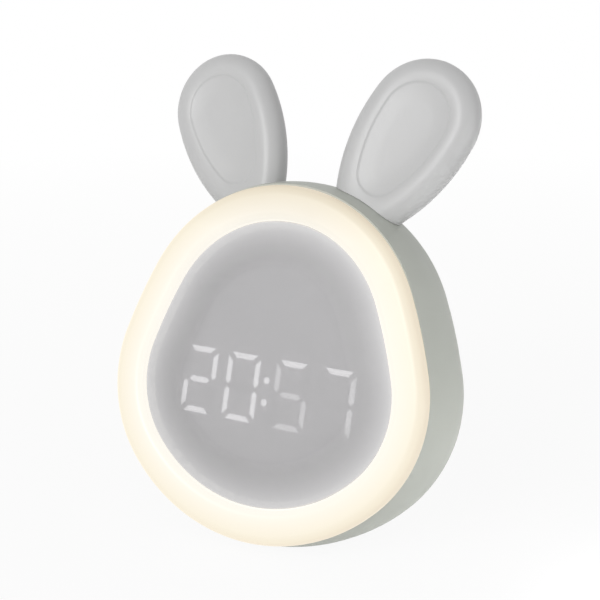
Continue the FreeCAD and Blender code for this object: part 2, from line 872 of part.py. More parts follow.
def make_ear(side, name):
    front = -(s.ear_thickness / 2)
    solid = new_body("ear_form_" + name)
    sketch = face_sketch(solid, "outline", front)
    ear_outline(sketch, s.ear_tip_radius, s.ear_root_radius, s.ear_side_radius, s.ear_length)
    feature = pad(solid, sketch, s.ear_thickness)
    doc.recompute()
    edges = rim_edges(feature, front.value) + rim_edges(feature, -front.value)
    rounded(solid, "Fillet", feature, edges, s.ear_edge_round)
    dish = ear_dish("ear_dish_" + name, front)
    hollow = new_body("ear_hollow_" + name)
    start = front + s.ear_face_wall
    sketch = face_sketch(hollow, "outline", start)
    ear_outline(sketch, s.ear_tip_radius - s.ear_wall, s.ear_hollow_root,
                s.ear_side_radius - s.ear_wall, s.ear_hollow_length)
    pad(hollow, sketch, -front - start - s.ear_wall)
    for body in (solid, dish, hollow):
        body.Placement = ear_frame(side)
    shell = cut("ear_hollowed_" + name, solid, joined("ear_spaces_" + name, [dish, hollow]))
    seated = cut("ear_seated_" + name, shell, dome("ear_seat_" + name, -s.plug_gap, 0.0))
    behind = new_body("ear_behind_" + name)
    sketch = face_sketch(behind, "side", s.ear_split)
    rectangle(sketch, zero, zero, s.ear_length * 4, s.ear_length * 4)
    pad(behind, sketch, s.ear_thickness)
    behind.Placement = ear_frame(side)
    front_half = cut("ear_front_half_" + name, seated, behind)
    tenon = tenon_body("ear_tenon_" + name, side, s.tenon_width, s.tenon_thickness,
                       s.tenon_top, s.tenon_end)
    with_tenon = joined("ear_with_tenon_" + name, [front_half, tenon])
    hole = doc.addObject("Part::Cylinder", "ear_pilot_" + name)
    bind(hole, "Radius", pilot)
    bind(hole, "Height", s.board_screw_length)
    hole.Placement = ear_frame(side) * Placement(Vector(0, 0, -s.tenon_end.value), Rotation())
    shell_name = name + "_ear_shell"
    front_shell = cut(shell_name, with_tenon, hole)
    back_shell = doc.addObject("Part::Common", name + "_ear_back")
    back_shell.Base = seated
    back_shell.Tool = behind
    # Clamp plate inside the housing, screwed to the tenon's end
    clamp = new_body(name + "_ear_clamp")
    sketch = sketch_on(clamp, "plate", "XY_Plane", -(socket_end + s.clamp_thickness))
    rectangle(sketch, zero, zero, socket_width, socket_thickness)
    circle(sketch, 0.0, 0.0, clear_hole)
    pad(clamp, sketch, s.clamp_thickness, False)
    clamp.Placement = ear_frame(side)
    return [front_shell, back_shell, clamp]


# Display: mask with a window for each bar, the bars, their reflector and board
def digit_form(name, across, grow, depth, thickness):
    """The seven bars of one digit as a raised form, grown by a clearance."""
    body = new_body(name)
    body.AllowCompound = True
    sketch = face_sketch(body, "bars", depth)
    stroke = s.digit_stroke + grow * 2
    half = stroke / 2
    side = s.digit_width / 2 + grow
    top = s.digit_height / 2 + grow
    corner = s.digit_corner
    waist = s.digit_waist - grow
    long_x = s.digit_bar / 2 + grow
    for level in (-1, 1):
        outer = top * level - s.digit_drop
        inner = (top - stroke) * level - s.digit_drop
        profile(sketch, [
            (corner - side, outer), (side - corner, outer),
            (side - corner - stroke, inner), (corner - side + stroke, inner)])
        for way in (-1, 1):
            profile(sketch, [
                (side * way, (top - corner) * level - s.digit_drop),
                (side * way, (waist + half) * level - s.digit_drop),
                ((side - half) * way, waist * level - s.digit_drop),
                ((side - stroke) * way, (waist + half) * level - s.digit_drop),
                ((side - stroke) * way, (top - corner - stroke) * level - s.digit_drop)])
    profile(sketch, [
        (-long_x, -s.digit_drop), (half - long_x, -half - s.digit_drop),
        (long_x - half, -half - s.digit_drop), (long_x, -s.digit_drop),
        (long_x - half, half - s.digit_drop), (half - long_x, half - s.digit_drop)])
    pad(body, sketch, thickness)
    put(body, (across, 0.0, 0.0))
    return body


def display_forms(name, grow, depth, thickness):
    """The bars of the four digits and the two dots between them."""
    places = [-s.digit_outer_across, -s.digit_inner_across,
              s.digit_inner_across, s.digit_outer_across]
    forms = [digit_form("%s_%d" % (name, number), across, grow, depth, thickness)
             for number, across in enumerate(places)]
    for level in (-1, 1):
        z = s.colon_pitch * (level / 2) - s.digit_drop
        forms.append(cylinder("%s_dot_%d" % (name, level), zero, depth, z,
                              s.colon_size / 2 + grow, thickness))
    return forms


def make_display():
    plate = outline_plate("mask_plate", -s.ring_ledge - s.pane_gap, mask_front,
                          ledge_back - mask_front)
    windows = group("mask_windows",
                    display_forms("mask_window", s.segment_gap, s.pane_recess, s.frame_depth))
    mask = cut("display_mask", plate, windows)
    bars = group("display_segments",
                 display_forms("segment", zero, mask_front, ledge_back - mask_front))
    reflector = block("display_reflector", zero, ledge_back, -s.digit_drop,
                      s.reflector_width, frame_back - ledge_back, s.reflector_height)
    board = new_body("display_board")
    sketch = face_sketch(board, "plate", frame_back)
    rectangle(sketch, zero, -s.digit_drop, s.display_board_width,
              s.display_board_height)
    for x, z in display_places:
        circle(sketch, x, z, clear_hole)
    pad(board, sketch, s.board_thickness)
    return [mask, bars, reflector, board]


# Inner frame: a plate with a baffle wall that keeps the ring's light off the display
def make_frame():
    body = outline_plate("inner_frame", s.frame_rim, s.frame_depth, s.frame_thickness)
    swept(body, "baffle", [
        (ledge_back, -s.baffle_inset - s.baffle_wall),
        (frame_back, -s.baffle_inset - s.baffle_wall),
        (frame_back, -s.baffle_inset),
        (ledge_back, -s.baffle_inset)])
    for name, places, radius, height in (
            ("case_posts", case_places, s.case_post_radius, s.frame_post_height),
            ("main_posts", main_places, s.post_radius, s.main_post_height),
            ("cradle_posts", cradle_places, s.post_radius, cradle_front - frame_back)):
        sketch = face_sketch(body, name, frame_back)
        for x, z in places:
            circle(sketch, x, z, radius)
        pad(body, sketch, height)
    window = face_sketch(body, "window", s.frame_depth)
    rectangle(window, zero, -s.digit_drop, s.reflector_width + s.reflector_gap * 2,
              s.reflector_height + s.reflector_gap * 2)
    for x, z in display_places + case_places + main_places + cradle_places:
        circle(window, x, z, pilot)
    pocket(body, window, s.housing_depth)
    return body


# Lamp board: a ring of lamps behind the opal ring
def make_lamps():
    body = new_body("lamp_board")
    front = s.frame_depth - s.board_thickness
    inner = s.lamp_board_gap - s.baffle_inset
    swept(body, "board", [
        (front, inner), (s.frame_depth, inner),
        (s.frame_depth, s.lamp_board_rim), (front, s.lamp_board_rim)])
    lamps = []
    count = int(s.lamp_count.value)
    for number in range(count):
        x, z, angle = outline_point((number + 0.5) / count, s.lamp_line.value)
        lamp = doc.addObject("Part::Box", "lamp_%d" % number)
        bind(lamp, "Length", s.lamp_length)
        bind(lamp, "Width", s.lamp_height)
        bind(lamp, "Height", s.lamp_width)
        corner = Placement(Vector(-s.lamp_length.value / 2, 0, -s.lamp_width.value / 2),
                           Rotation())
        turn = Rotation(Vector(0, 1, 0), 90 - math.degrees(angle))
        place = Vector(x, front.value - s.lamp_height.value, z)
        lamp.Placement = Placement(place, turn) * corner
        lamps.append(lamp)
    return [body, group("ring_lamps", lamps)]


def board(name, width, height, up, depth, places):
    """A circuit board parallel to the face with its screw holes."""
    body = new_body(name)
    sketch = face_sketch(body, "plate", depth)
    rectangle(sketch, zero, up, width, height)
    for x, z in places:
        circle(sketch, x, z, clear_hole)
    pad(body, sketch, s.board_thickness)
    return body


def screws(name, places, seat, length, inward=True):
    """Pan-head screws, heads behind their seat and shanks forwards, or turned about."""
    way = -1 if inward else 1
    pieces = []
    for number, (x, z) in enumerate(places):
        pieces.append(turned("%s_%d" % (name, number), [
            (0.0, length * way),
            (s.screw_radius, length * way),
            (s.screw_radius, 0.0),
            (s.screw_head_radius, 0.0),
            (s.screw_head_radius, s.screw_head_height * -way),
            (0.0, s.screw_head_height * -way)], (x, seat, z)))
    return group(name, pieces)


# Keys, slide, switches and inlet on the back
key_across = [s.key_pitch * step for step in (-1.5, -0.5, 0.5, 1.5)]
key_front = key_board_back + s.tact_height + s.tact_stem_height + s.key_travel + s.hole_gap


def make_key(name, across):
    flange_back = back_inner - s.key_gap
    crown = s.housing_depth + s.key_rise
    rim = s.key_radius + s.key_flange_rim
    return turned(name, [
        (0.0, key_front),
        (rim, key_front),
        (rim, flange_back),
        (s.key_radius, flange_back),
        (s.key_radius, crown - s.key_round, s.key_round, 1),
        (s.key_radius - s.key_round, crown),
        (0.0, crown)], (across, 0.0, s.key_up))


def make_switches():
    pieces = []
    for number, across in enumerate(key_across):
        case = block("tact_case_%d" % number, across, key_board_back, s.key_up,
                     s.tact_width, s.tact_height, s.tact_width)
        stem = cylinder("tact_stem_%d" % number, across, key_board_back + s.tact_height,
                        s.key_up, s.tact_stem_radius, s.tact_stem_height)
        pieces.append(joined("tact_%d" % number, [case, stem]))
    return group("key_switches", pieces)


def make_slide():
    rest = s.slide_across - s.slide_travel / 2
    seat = key_board_back + s.slide_body_height
    case = block("slide_switch", s.slide_across, key_board_back, s.slide_up,
                 s.slide_body_length, s.slide_body_height, s.slide_body_width)
    knob = new_body("alarm_slide")
    stem = face_sketch(knob, "stem", seat + s.hole_gap)
    slot(stem, rest, s.slide_up, s.slide_length, s.slide_width)
    pad(knob, stem, s.housing_depth + s.slide_rise - seat - s.hole_gap)
    flange = face_sketch(knob, "flange", back_inner - s.key_gap - s.key_flange)
    rectangle(flange, rest, s.slide_up, s.slide_length + s.slide_travel,
              s.slide_width + s.key_flange_rim * 2)
    pad(knob, flange, s.key_flange)
    return [case, knob]


def make_inlet():
    body = new_body("charge_inlet")
    shell = face_sketch(body, "shell", key_board_back)
    slot(shell, -s.slide_across, s.slide_up, s.inlet_width, s.inlet_height)
    depth = s.housing_depth - key_board_back - s.inlet_gap
    pad(body, shell, depth)
    mouth = face_sketch(body, "mouth", key_board_back + s.board_thickness)
    slot(mouth, -s.slide_across, s.slide_up, s.inlet_width - s.inlet_wall * 2,
         s.inlet_height - s.inlet_wall * 2)
    pocket(body, mouth, depth)
    tongue = face_sketch(body, "tongue", key_board_back)
    rectangle(tongue, -s.slide_across, s.slide_up, s.inlet_tongue, s.inlet_wall * 2)
    pad(body, tongue, depth - s.inlet_gap)
    return body


# Speaker: magnet, basket and cone, clamped on three posts behind the grille
speaker_seat = back_inner - s.speaker_rim - s.key_gap


def make_speaker():
    place = (zero, speaker_seat, -s.speaker_drop)
    rim = s.speaker_rim
    cone = s.speaker_cone_radius
    neck = s.speaker_neck_radius
    basket_front = -s.speaker_basket_depth
    paper = s.speaker_paper
    floor = basket_front + s.speaker_steel
    low = floor + s.speaker_steel / 2
    magnet = turned("speaker_magnet", [
        (0.0, basket_front - s.magnet_height), (s.magnet_radius, basket_front - s.magnet_height),
        (s.magnet_radius, basket_front), (0.0, basket_front)], place)
    basket = turned("speaker_basket", [
        (neck, basket_front), (s.magnet_radius + s.key_gap, basket_front),
        (s.magnet_radius + s.key_gap, 0.0), (s.speaker_radius, 0.0), (s.speaker_radius, rim),
        (cone, rim), (cone, s.speaker_shoulder), (neck, floor)], place)
    diaphragm = turned("speaker_cone", [
        (0.0, low), (neck, low), (cone - s.hole_gap, rim - s.speaker_steel),
        (cone - s.hole_gap, rim - s.speaker_steel + paper), (neck, low + paper),
        (0.0, low + paper)], place)
    clamp = new_body("speaker_clamp")
    sketch = face_sketch(clamp, "plate", speaker_seat - s.speaker_clamp_thickness)
    circle(sketch, 0.0, -s.speaker_drop, s.speaker_radius)
    pad(clamp, sketch, s.speaker_clamp_thickness)
    sketch = face_sketch(clamp, "lugs", speaker_seat - s.speaker_clamp_thickness)
    for x, z in speaker_places:
        circle(sketch, x, z, s.speaker_post_circle - s.speaker_radius + s.screw_radius)
    pad(clamp, sketch, s.speaker_clamp_thickness)
    sketch = face_sketch(clamp, "holes", speaker_seat - s.speaker_clamp_thickness)
    circle(sketch, 0.0, -s.speaker_drop, s.magnet_radius + s.key_gap * 2)
    for x, z in speaker_places:
        circle(sketch, x, z, clear_hole)
    pocket(clamp, sketch, s.speaker_clamp_thickness * 2)
    return [magnet, basket, diaphragm, clamp]


# Battery: one round cell lying across the bottom in an open cradle
cradle_front = s.cell_depth - s.cell_radius - s.cradle_gap - s.cradle_wall


def make_battery():
    cell = turned("battery_cell", [
        (0.0, -(s.cell_length / 2)), (s.cell_radius, -(s.cell_length / 2)),
        (s.cell_radius, s.cell_length / 2), (0.0, s.cell_length / 2)],
        (zero, s.cell_depth, -s.cell_drop))
    cell.Placement = Placement(cell.Placement.Base, Rotation(Vector(0, 0, 1), -90))
    cradle = new_body("battery_cradle")
    inner_width = s.cell_length + s.cradle_gap * 2
    inner_height = s.cell_radius * 2 + s.cradle_gap * 2
    plate = face_sketch(cradle, "plate", cradle_front)
    rectangle(plate, zero, -s.cell_drop, inner_width + s.cradle_wall * 2,
              inner_height + s.cradle_wall * 2)
    pad(cradle, plate, s.cradle_wall)
    tabs = face_sketch(cradle, "tabs", cradle_front)
    rectangle(tabs, zero, -s.cell_drop, (cradle_across + s.cradle_tab / 2) * 2, s.cradle_tab)
    pad(cradle, tabs, s.cradle_wall)
    walls = face_sketch(cradle, "walls", cradle_front + s.cradle_wall)
    rectangle(walls, zero, -s.cell_drop, inner_width + s.cradle_wall * 2,
              inner_height + s.cradle_wall * 2)
    rectangle(walls, zero, -s.cell_drop, inner_width, inner_height)
    pad(cradle, walls, s.cell_radius + s.cradle_gap)
    holes = face_sketch(cradle, "holes", cradle_front)
    for x, z in cradle_places:
        circle(holes, x, z, clear_hole)
    pocket(cradle, holes, s.cradle_wall * 2)
    return [cell, cradle]


def make_main_board():
    depth = frame_back + s.main_post_height
    back = depth + s.board_thickness
    plate = board("main_board", s.main_board_width, s.main_board_height, s.main_board_up,
                  depth, main_places)
    chip = block("clock_chip", -(s.main_board_width / 6), back, s.main_board_up,
                 s.chip_width, s.chip_height, s.chip_width)
    sockets = [block("lead_socket_%d" % side, s.main_board_width / 4 * side, back,
                     s.main_board_up - s.main_board_height / 2 + s.socket_depth,
                     s.socket_length, s.socket_rise, s.socket_depth) for side in (-1, 1)]
    return [plate, chip, group("lead_sockets", sockets)]


def ear_screws():
    pieces = []
    seat = -(socket_end.value + s.clamp_thickness.value)
    for side in (-1, 1):
        screw = turned("ear_screw_%d" % side, [
            (0.0, s.board_screw_length),
            (s.screw_radius, s.board_screw_length),
            (s.screw_radius, 0.0),
            (s.screw_head_radius, 0.0),
            (s.screw_head_radius, -s.screw_head_height),
            (0.0, -s.screw_head_height)])
        upright = Placement(Vector(0, 0, seat), Rotation(Vector(1, 0, 0), 90))
        screw.Placement = ear_frame(side) * upright
        pieces.append(screw)
    return group("ear_screws", pieces)


nodes = [make_light_ring(), make_pane(), make_housing()]
nodes += make_ear(-1, "left") + make_ear(1, "right")
nodes += make_display()
nodes.append(make_frame())
nodes += make_lamps()
nodes += make_main_board()
nodes.append(board("key_board", s.key_board_width, s.key_board_height, s.key_board_up,
                   key_board_front, key_places))
nodes += [make_key(name, across) for name, across in zip(
    ("light_key", "down_key", "up_key", "set_key"), key_across)]
nodes.append(make_switches())
nodes += make_slide()
nodes.append(make_inlet())
nodes += make_speaker()
nodes += make_battery()
nodes.append(foot_pad("foot_plate", zero, s.pad_thickness))
nodes += [
    screws("case_screws", case_places, post_seat + s.case_post_seat, s.case_screw_length),
    screws("display_screws", display_places, frame_back + s.board_thickness,
           s.frame_thickness + s.board_thickness),
    screws("main_board_screws", main_places,
           frame_back + s.main_post_height + s.board_thickness, s.board_screw_length),
    screws("cradle_screws", cradle_places, cradle_front + s.cradle_wall,
           s.board_screw_length),
    screws("key_board_screws", key_places, key_board_front, s.board_screw_length, False),
    screws("speaker_screws", speaker_places, speaker_seat - s.speaker_clamp_thickness,
           s.board_screw_length - s.key_gap, False),
    ear_screws()]
doc.recompute()

# Stand the clock on its base: lean it back, then centre its bounds over the origin
lean = Placement(Vector(), Rotation(Vector(1, 0, 0), -s.lean_angle.value))
for node in nodes:
    node.Placement = lean * node.Placement
bounds = FreeCAD.BoundBox()
for node in nodes:
    node.purgeTouched()
    bounds.add(node.Shape.optimalBoundingBox(False))
shift = Placement(Vector(-bounds.Center.x, -bounds.Center.y, -bounds.ZMin), Rotation())
for node in nodes:
    node.Placement = shift * node.Placement
    node.Label = node.Name

for item in doc.Objects:
    if "Invalid" in item.State or "Error" in item.State:
        raise RuntimeError("failed: %s %s" % (item.Name, item.State))
os.makedirs("parts", exist_ok=True)
for node in nodes:
    if node.Shape.isNull() or not node.Shape.isValid():
        raise RuntimeError("no valid shape: " + node.Name)
for node in nodes:
    node.Shape.exportStep("parts/%s.step" % node.Label)
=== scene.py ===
import math

import bmesh
import bpy
from mathutils import Matrix, Vector


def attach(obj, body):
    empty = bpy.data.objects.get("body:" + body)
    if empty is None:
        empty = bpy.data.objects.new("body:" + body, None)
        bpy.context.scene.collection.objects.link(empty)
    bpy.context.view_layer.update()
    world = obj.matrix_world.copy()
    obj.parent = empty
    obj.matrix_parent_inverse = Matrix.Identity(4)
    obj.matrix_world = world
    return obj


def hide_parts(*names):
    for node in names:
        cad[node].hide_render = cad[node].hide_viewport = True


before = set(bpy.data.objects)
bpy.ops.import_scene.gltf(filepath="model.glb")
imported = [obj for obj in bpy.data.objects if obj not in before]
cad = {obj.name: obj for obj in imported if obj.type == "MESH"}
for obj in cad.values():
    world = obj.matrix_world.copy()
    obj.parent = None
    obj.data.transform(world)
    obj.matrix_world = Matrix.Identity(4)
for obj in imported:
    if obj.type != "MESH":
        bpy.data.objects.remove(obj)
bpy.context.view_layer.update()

scene = bpy.context.scene


# Camera: a little above the clock and to its right, aimed at the middle of the face
camera_place = Vector((0.2033, -0.3611, 0.1982))
camera_aim = Vector((0.0128, -0.0181, 0.0947))
camera_data = bpy.data.cameras.new("camera")
camera_data.lens = 66.3
camera_data.sensor_width = 36.0
camera_data.clip_start = 0.01
camera = bpy.data.objects.new("camera", camera_data)
camera.location = camera_place
camera.rotation_mode = "QUATERNION"
camera.rotation_quaternion = (camera_aim - camera_place).to_track_quat("-Z", "Y")
scene.collection.objects.link(camera)
scene.camera = camera
scene.view_settings.view_transform = "Standard"


# Studio: a broad soft lamp in front and above, weak lamps low at the clock's right, and an
# even pale room. The room and the floor look white, and the floor keeps a soft shadow.
clock_middle = (0, 0, 0.09)
room_level = 0.42
floor_half = 40.0
floor_near = 0.1
floor_far = 1.2
floor_glow_near = 0.92
floor_glow_far = 1.0


def soft_lamp(name, place, aim, size, watts):
    """A round lamp at a place, aimed at a point, with its diameter in metres."""
    data = bpy.data.lights.new(name, "AREA")
    data.shape = "DISK"
    data.size = size
    data.energy = watts
    lamp = bpy.data.objects.new(name, data)
    lamp.location = place
    lamp.rotation_mode = "QUATERNION"
    lamp.rotation_quaternion = (Vector(aim) - Vector(place)).to_track_quat("-Z", "Y")
    scene.collection.objects.link(lamp)


soft_lamp("key_lamp", (-0.2, -1.4, 0.75), clock_middle, 0.8, 10.0)
soft_lamp("side_lamp", (1.2, -0.5, 0.4), clock_middle, 0.8, 0.3)
soft_lamp("low_lamp", (0.62, -0.06, 0.05), (0.04, 0, 0.03), 0.22, 0.35)
soft_lamp("table_lamp", (0.17, -0.01, 0.03), (0.17, -0.01, 0), 0.07, 0.1)


def new_node(tree, kind, **values):
    """A shader node with some of its settings."""
    node = tree.nodes.new(kind)
    for name, value in values.items():
        setattr(node, name, value)
    return node


def seen_directly(tree):
    """1 where a surface is seen by the camera, in a gloss or through glass, else 0."""
    path = new_node(tree, "ShaderNodeLightPath")
    total = path.outputs["Is Camera Ray"]
    for ray in ("Is Glossy Ray", "Is Transmission Ray"):
        either = new_node(tree, "ShaderNodeMath", operation="MAXIMUM")
        tree.links.new(total, either.inputs[0])
        tree.links.new(path.outputs[ray], either.inputs[1])
        total = either.outputs[0]
    return total


def mixed(tree, share, first, second, end):
    """Two shaders mixed by a share of the second, led to the material's or world's end."""
    mix = new_node(tree, "ShaderNodeMixShader")
    tree.links.new(share, mix.inputs["Fac"])
    tree.links.new(first.outputs[0], mix.inputs[1])
    tree.links.new(second.outputs[0], mix.inputs[2])
    tree.links.new(mix.outputs[0], end.inputs["Surface"])


room = bpy.data.worlds.new("room")
scene.world = room
room.use_nodes = True
room_tree = room.node_tree
room_light = room_tree.nodes["Background"]
room_light.inputs["Color"].default_value = (1, 1, 1, 1)
room_light.inputs["Strength"].default_value = room_level
room_seen = new_node(room_tree, "ShaderNodeBackground")
room_seen.inputs["Color"].default_value = (1, 1, 1, 1)
room_seen.inputs["Strength"].default_value = 1.0
mixed(room_tree, seen_directly(room_tree), room_light, room_seen,
      room_tree.nodes["World Output"])

floor_mesh = bpy.data.meshes.new("floor")
floor_form = bmesh.new()
bmesh.ops.create_grid(floor_form, x_segments=1, y_segments=1, size=floor_half)
floor_form.to_mesh(floor_mesh)
floor_form.free()
floor = bpy.data.objects.new("floor", floor_mesh)
scene.collection.objects.link(floor)
floor_paint = bpy.data.materials.new("floor_paint")
floor_paint.use_nodes = True
floor_tree = floor_paint.node_tree
floor_tree.nodes.clear()
floor_matt = new_node(floor_tree, "ShaderNodeBsdfDiffuse")
floor_matt.inputs["Color"].default_value = (0.9, 0.9, 0.9, 1)
floor_glow = new_node(floor_tree, "ShaderNodeEmission")
floor_glow.inputs["Strength"].default_value = 1.0
floor_place = new_node(floor_tree, "ShaderNodeTexCoord")
floor_reach = new_node(floor_tree, "ShaderNodeVectorMath", operation="LENGTH")
floor_fade = new_node(floor_tree, "ShaderNodeMapRange")
for socket, value in (("From Min", floor_near), ("From Max", floor_far),
                      ("To Min", floor_glow_near), ("To Max", floor_glow_far)):
    floor_fade.inputs[socket].default_value = value
floor_share = new_node(floor_tree, "ShaderNodeMath", operation="MULTIPLY")
floor_tree.links.new(floor_place.outputs["Object"], floor_reach.inputs[0])
floor_tree.links.new(floor_reach.outputs["Value"], floor_fade.inputs["Value"])
floor_tree.links.new(seen_directly(floor_tree), floor_share.inputs[0])
floor_tree.links.new(floor_fade.outputs["Result"], floor_share.inputs[1])
mixed(floor_tree, floor_share.outputs[0], floor_matt, floor_glow,
      new_node(floor_tree, "ShaderNodeOutputMaterial"))
floor_mesh.materials.append(floor_paint)


# Rear housing: one domed shell moulded in grey ABS with a breath of green. The mould was
# spark-eroded, so the skin is matt with a very fine even grain.
def linear(*levels):
    """A colour of 0 to 255 screen levels as the linear colour that a shader takes."""
    parts = [level / 255 for level in levels]
    return tuple(p / 12.92 if p <= 0.04045 else ((p + 0.055) / 1.055) ** 2.4 for p in parts)


def moulded_skin_group():
    """The skin of a moulded plastic: slow drift of colour and gloss over a fine grain."""
    group = bpy.data.node_groups.new("moulded_skin", "ShaderNodeTree")
    face = group.interface
    for name, kind in (("Colour", "NodeSocketColor"), ("Drift", "NodeSocketFloat"),
                       ("Gloss", "NodeSocketFloat"), ("Gloss drift", "NodeSocketFloat"),
                       ("Grain size", "NodeSocketFloat"), ("Grain height", "NodeSocketFloat")):
        face.new_socket(name, in_out="INPUT", socket_type=kind)
    for name, kind in (("Colour", "NodeSocketColor"), ("Roughness", "NodeSocketFloat"),
                       ("Normal", "NodeSocketVector")):
        face.new_socket(name, in_out="OUTPUT", socket_type=kind)
    links = group.links
    start = new_node(group, "NodeGroupInput")
    end = new_node(group, "NodeGroupOutput")
    where = new_node(group, "ShaderNodeTexCoord")

    def noise(waves, detail):
        """Noise with a count of waves to the metre."""
        node = new_node(group, "ShaderNodeTexNoise")
        node.inputs["Detail"].default_value = detail
        if isinstance(waves, float):
            node.inputs["Scale"].default_value = waves
        else:
            links.new(waves, node.inputs["Scale"])
        links.new(where.outputs["Object"], node.inputs["Vector"])
        return node.outputs["Fac"]

    def maths(operation, *values):
        node = new_node(group, "ShaderNodeMath", operation=operation)
        for socket, value in zip(node.inputs, values):
            if isinstance(value, float):
                socket.default_value = value
            else:
                links.new(value, socket)
        return node.outputs[0]

    slow = maths("SUBTRACT", noise(38.0, 3.0), 0.5)
    fine = maths("SUBTRACT", noise(1400.0, 2.0), 0.5)
    shade = new_node(group, "ShaderNodeVectorMath", operation="SCALE")
    links.new(start.outputs["Colour"], shade.inputs[0])
    links.new(maths("MULTIPLY_ADD", slow, start.outputs["Drift"], 1.0), shade.inputs["Scale"])
    links.new(shade.outputs[0], end.inputs["Colour"])
    links.new(maths("MULTIPLY_ADD", maths("ADD", slow, fine), start.outputs["Gloss drift"],
                    start.outputs["Gloss"]), end.inputs["Roughness"])
    bump = new_node(group, "ShaderNodeBump")
    links.new(start.outputs["Grain height"], bump.inputs["Distance"])
    links.new(noise(maths("DIVIDE", 1.0, start.outputs["Grain size"]), 3.0),
              bump.inputs["Height"])
    links.new(bump.outputs["Normal"], end.inputs["Normal"])
    return group


moulded_skin = moulded_skin_group()


def moulded(name, colour, drift, gloss, gloss_drift, grain, height, metal=0.0):
    """A material with the moulded skin: lengths in metres, gloss as roughness."""
    material = bpy.data.materials.new(name)
    material.use_nodes = True
    tree = material.node_tree
    shader = tree.nodes["Principled BSDF"]
    skin = new_node(tree, "ShaderNodeGroup", node_tree=moulded_skin)
    for socket, value in (("Colour", (*colour, 1)), ("Drift", drift), ("Gloss", gloss),
                          ("Gloss drift", gloss_drift), ("Grain size", grain),
                          ("Grain height", height)):
        skin.inputs[socket].default_value = value
    tree.links.new(skin.outputs["Colour"], shader.inputs["Base Color"])
    tree.links.new(skin.outputs["Roughness"], shader.inputs["Roughness"])
    tree.links.new(skin.outputs["Normal"], shader.inputs["Normal"])
    shader.inputs["Metallic"].default_value = metal
    return material


def dress(material, *names):
    """Gives CAD nodes their material in every slot."""
    for name in names:
        if not cad[name].material_slots:
            cad[name].data.materials.append(material)
        for place in cad[name].material_slots:
            place.material = material


housing_plastic = moulded("housing_plastic", linear(196, 199, 191), drift=0.05, gloss=0.5,
                          gloss_drift=0.12, grain=0.00022, height=0.000012)
dress(housing_plastic, "rear_housing")


# Light ring: opal polycarbonate lit from inside by warm lamps. It is whitest near the
# window, turns a little peach at its outer edge, and is dimmer at the top.
face_lean = math.radians(16.1)
face_origin = Vector((0, -0.0231277, 0.0774))
face_place = Matrix.Translation(face_origin) @ Matrix.Rotation(-face_lean, 4, "X")
face_out = Vector((0, -math.cos(face_lean), math.sin(face_lean)))
face_up = Vector((0, math.sin(face_lean), math.cos(face_lean)))
window_top_radius = 0.0466
window_side_radius = 0.181
window_side_drop = 0.0566
window_corner_radius = 0.0381
window_base_radius = 0.0592
window_base_drop = 0.0025
ring_width = 0.01345
ring_dim_from = 0.08
ring_dim_to = 0.145
weld_distance = 2e-6
angle_slack = 1e-6
crease_angle = math.radians(32)


def window_arcs():
    """Centres, radii and headings of the window's arcs on its right half, top first."""
    reach = window_side_radius - window_top_radius
    top = Vector((0, 0))
    side = Vector((-math.sqrt(reach ** 2 - window_side_drop ** 2), -window_side_drop))
    base = Vector((0, -window_base_drop))
    gap = base - side
    far = window_side_radius - window_corner_radius
    near = window_base_radius - window_corner_radius
    along = (gap.length ** 2 + far ** 2 - near ** 2) / (2 * gap.length)
    rise = math.sqrt(far ** 2 - along ** 2)
    unit = gap.normalized()
    corner = side + unit * along + Vector((unit.y, -unit.x)) * rise
    turns = [math.pi / 2]
    for start, end in ((side, top), (side, corner), (base, corner)):
        turns.append(math.atan2(end.y - start.y, end.x - start.x))
    turns.append(-math.pi / 2)
    radii = (window_top_radius, window_side_radius, window_corner_radius, window_base_radius)
    return list(zip((top, side, corner, base), radii, turns, turns[1:]))


def past_window(point):
    """How far a point of the model lies outside the window's outline, along the face."""
    local = face_place.inverted() @ point
    flat = Vector((abs(local.x), local.z))
    best = -window_base_radius
    for centre, radius, high, low in window_arcs():
        arm = flat - centre
        if low - angle_slack <= math.atan2(arm.y, arm.x) <= high + angle_slack:
            best = max(best, arm.length - radius)
    return best


def merged_copy(node):
    """A CAD node's form as one connected bmesh."""
    form = bmesh.new()
    form.from_mesh(cad[node].data)
    bmesh.ops.remove_doubles(form, verts=form.verts, dist=weld_distance)
    return form


def finished(name, form, material, body, *replaced):
    """The bmesh as a smooth-shaded piece that rides on a body."""
    mesh = bpy.data.meshes.new(name)
    form.to_mesh(mesh)
    form.free()
    for layer in ("custom_normal", "sharp_edge"):
        if layer in mesh.attributes:
            mesh.attributes.remove(mesh.attributes[layer])
    mesh.materials.clear()
    mesh.materials.append(material)
    mesh.shade_smooth()
    mesh.set_sharp_from_angle(angle=crease_angle)
    piece = bpy.data.objects.new(name, mesh)
    scene.collection.objects.link(piece)
    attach(piece, body)
    if replaced:
        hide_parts(*replaced)
    return piece


def mark_window(piece):
    """Stores at each point how far it lies outside the window, for the glow to follow."""
    mark = piece.data.attributes.new("past_window", "FLOAT", "POINT")
    mark.data.foreach_set("value", [past_window(v.co) for v in piece.data.vertices])


def window_mark(tree):
    """The stored distance outside the window, read in a material."""
    return new_node(tree, "ShaderNodeAttribute", attribute_name="past_window").outputs["Fac"]


def ramp(tree, source, low, high, steps):
    """A colour ramp over a range of a value: steps of (share, linear colour)."""
    span = new_node(tree, "ShaderNodeMapRange")
    span.inputs["From Min"].default_value = low
    span.inputs["From Max"].default_value = high
    tree.links.new(source, span.inputs["Value"])
    colours = new_node(tree, "ShaderNodeValToRGB")
    stops = colours.color_ramp.elements
    while len(stops) < len(steps):
        stops.new(0.5)
    for stop, (share, colour) in zip(stops, steps):
        stop.position = share
        stop.color = (*colour, 1)
    tree.links.new(span.outputs["Result"], colours.inputs["Fac"])
    return colours.outputs["Color"]


